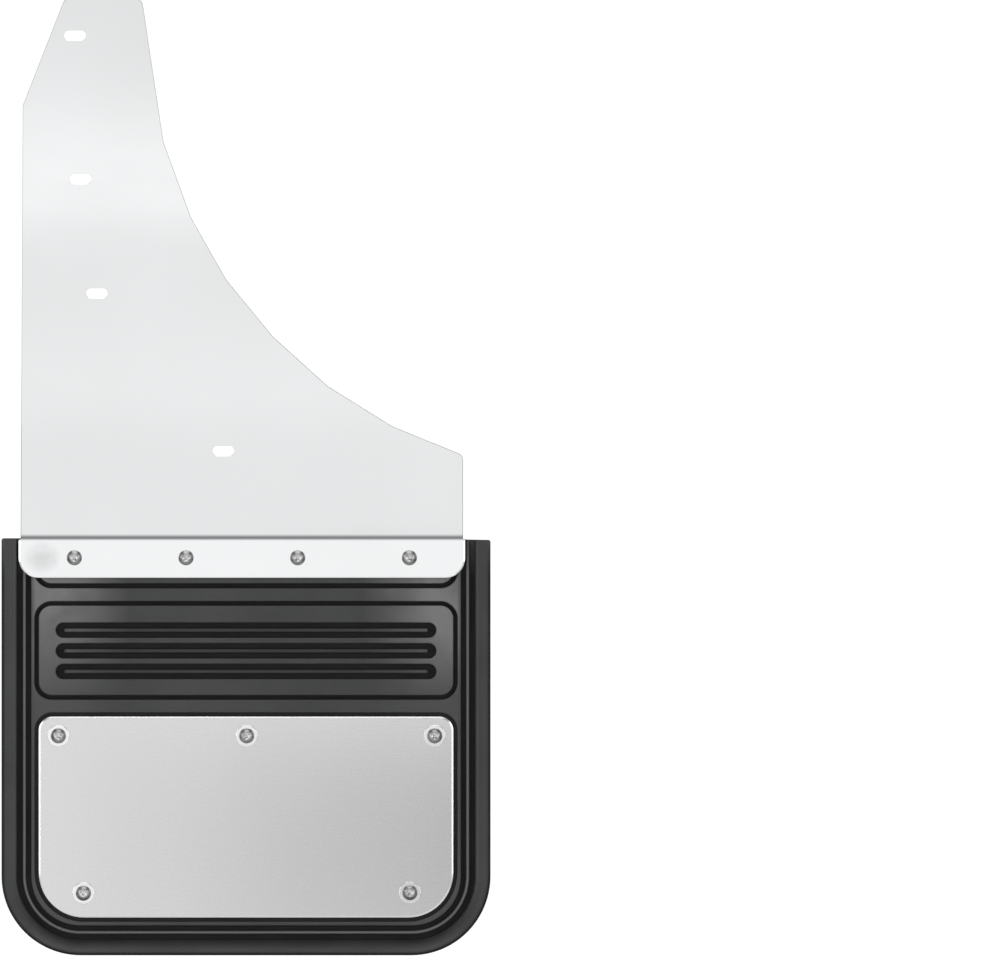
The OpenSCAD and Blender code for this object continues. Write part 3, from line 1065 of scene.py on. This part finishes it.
def card(name, where, turn, size, stops, along="Y"):
    """A glowing card that only mirrored rays see. Its brightness runs through the stops, which
    are (share of the way along its own X or Y, brightness). At brightness 0 it is a black flag."""
    material = bpy.data.materials.new(name)
    material.use_nodes = True
    tree = material.node_tree
    tree.nodes.clear()
    place = tree.nodes.new("ShaderNodeTexCoord")
    split = tree.nodes.new("ShaderNodeSeparateXYZ")
    ramp = tree.nodes.new("ShaderNodeValToRGB")
    glow = tree.nodes.new("ShaderNodeEmission")
    out = tree.nodes.new("ShaderNodeOutputMaterial")
    top = max(level for _, level in stops) or 1
    for i, (at, level) in enumerate(stops):
        element = ramp.color_ramp.elements[i] if i < 2 else ramp.color_ramp.elements.new(at)
        element.position = at
        element.color = (*grey(level / top), 1)
    glow.inputs["Strength"].default_value = top
    tree.links.new(place.outputs["Generated"], split.inputs["Vector"])
    tree.links.new(split.outputs[along], ramp.inputs["Fac"])
    tree.links.new(ramp.outputs["Color"], glow.inputs["Color"])
    tree.links.new(glow.outputs["Emission"], out.inputs["Surface"])
    data = bpy.data.meshes.new(name)
    w, h = size[0] / 2, size[1] / 2
    data.from_pydata([(-w, -h, 0), (w, -h, 0), (w, h, 0), (-w, h, 0)], [], [(0, 1, 2, 3)])
    data.materials.append(material)
    piece = bpy.data.objects.new(name, data)
    piece.location = where
    piece.rotation_euler = turn
    piece.visible_camera = False
    piece.visible_shadow = False
    piece.visible_diffuse = False
    bpy.context.scene.collection.objects.link(piece)


def floor_card(name, layer, where, size, stops):
    """A card that lies this many millimetres above the floor."""
    card(name, (*where, FLOOR_Z + layer * MM), (0, 0, 0), size, stops)


def softbox(name, where, size, radiance):
    """A rectangular light that faces the origin."""
    data = bpy.data.lights.new(name, "AREA")
    data.shape = "RECTANGLE"
    data.size, data.size_y = size
    data.energy = radiance * math.pi * size[0] * size[1]
    lamp = bpy.data.objects.new(name, data)
    lamp.location = where
    lamp.rotation_euler = (-Vector(where)).to_track_quat("-Z", "Y").to_euler()
    lamp.visible_camera = False
    bpy.context.scene.collection.objects.link(lamp)


def build_world():
    """White to look at, and a dim even grey as a light."""
    world = bpy.data.worlds.new("studio")
    world.use_nodes = True
    as_a_light, as_seen = 0.34, 1.05
    nodes = world.node_tree.nodes
    path = nodes.new("ShaderNodeLightPath")
    level = nodes.new("ShaderNodeMapRange")
    level.inputs["To Min"].default_value = as_a_light
    level.inputs["To Max"].default_value = as_seen
    world.node_tree.links.new(path.outputs["Is Camera Ray"], level.inputs["Value"])
    world.node_tree.links.new(level.outputs["Result"], nodes["Background"].inputs["Strength"])
    nodes["Background"].inputs["Color"].default_value = (1, 1, 1, 1)
    bpy.context.scene.world = world


def build_cards():
    """On the floor lie the bands that the mounting plate mirrors, a plain shade round them, and a
    bright and a dark patch in front of and under the flap, for the screws and the bevels. One
    upright card is for the flange, and a low one that dims to the right is for the weight plate.
    Black flags at the sides edge the rubber."""
    bands_far, bands_near = -3.0, -1.0
    bands_place = (0, (bands_far + bands_near) / 2)
    bands = [
        (0, 0.9), (0.2, 0.905), (0.28, 0.96), (0.355, 1.08), (0.45, 1.10), (0.48, 0.935),
        (0.6, 0.95), (0.7, 0.995), (0.74, 1.0), (0.78, 0.94), (1, 0.94),
    ]
    floor_card("floor_bands", 2, bands_place, (1.8, bands_near - bands_far), bands)
    floor_card("floor_shade", 1, (0, 0), (8, 8), even(0.62))
    upright = (math.pi / 2, 0, 0)
    dimming = [(0, 1.45), (1, 0.25)]
    card("front_card", (-0.2, -3.5, 0.25), upright, (2.4, 1.0), even(1.06))
    card("low_card", (-0.05, -0.5, -0.25), upright, (1.0, 0.20), dimming, "X")
    floor_card("near_floor", 3, (0, -0.24), (0.7, 0.42), even(1.0))
    floor_card("under_flap", 3, (0, 0.035), (0.7, 0.13), even(0.2))
    sideways = (0, math.pi / 2, 0)
    for name, x in (("left_flag", -0.6), ("right_flag", 0.6)):
        card(name, (x, 0.1, -0.175), sideways, (0.45, 0.5), even(0))


def build_softboxes():
    softbox("left_softbox", (-2.1, -1.3, 0.3), (1.2, 2.0), 2.4)
    softbox("right_softbox", (2.1, -1.3, 0.3), (1.2, 2.0), 2.3)
    softbox("top_softbox", (0, -0.9, 2.2), (2.2, 1.2), 2.4)
    softbox("back_softbox", (0.6, 2.4, 1.4), (2.0, 1.4), 1.8)


def build_camera():
    data = bpy.data.cameras.new("photo_camera")
    data.sensor_width = SENSOR
    data.lens = SENSOR * CAMERA_DISTANCE / VIEW_WIDTH
    data.clip_end = 100
    camera = bpy.data.objects.new("photo_camera", data)
    camera.location = (VIEW_CENTRE[0], -CAMERA_DISTANCE, VIEW_CENTRE[1])
    camera.rotation_euler = (math.pi / 2, 0, 0)
    bpy.context.scene.collection.objects.link(camera)
    bpy.context.scene.camera = camera


build_camera()
build_rubber()
build_weight_plate()
build_bracket()
build_all_fasteners()
build_floor()
build_world()
build_cards()
build_softboxes()
bpy.context.scene.view_settings.view_transform = "Standard"
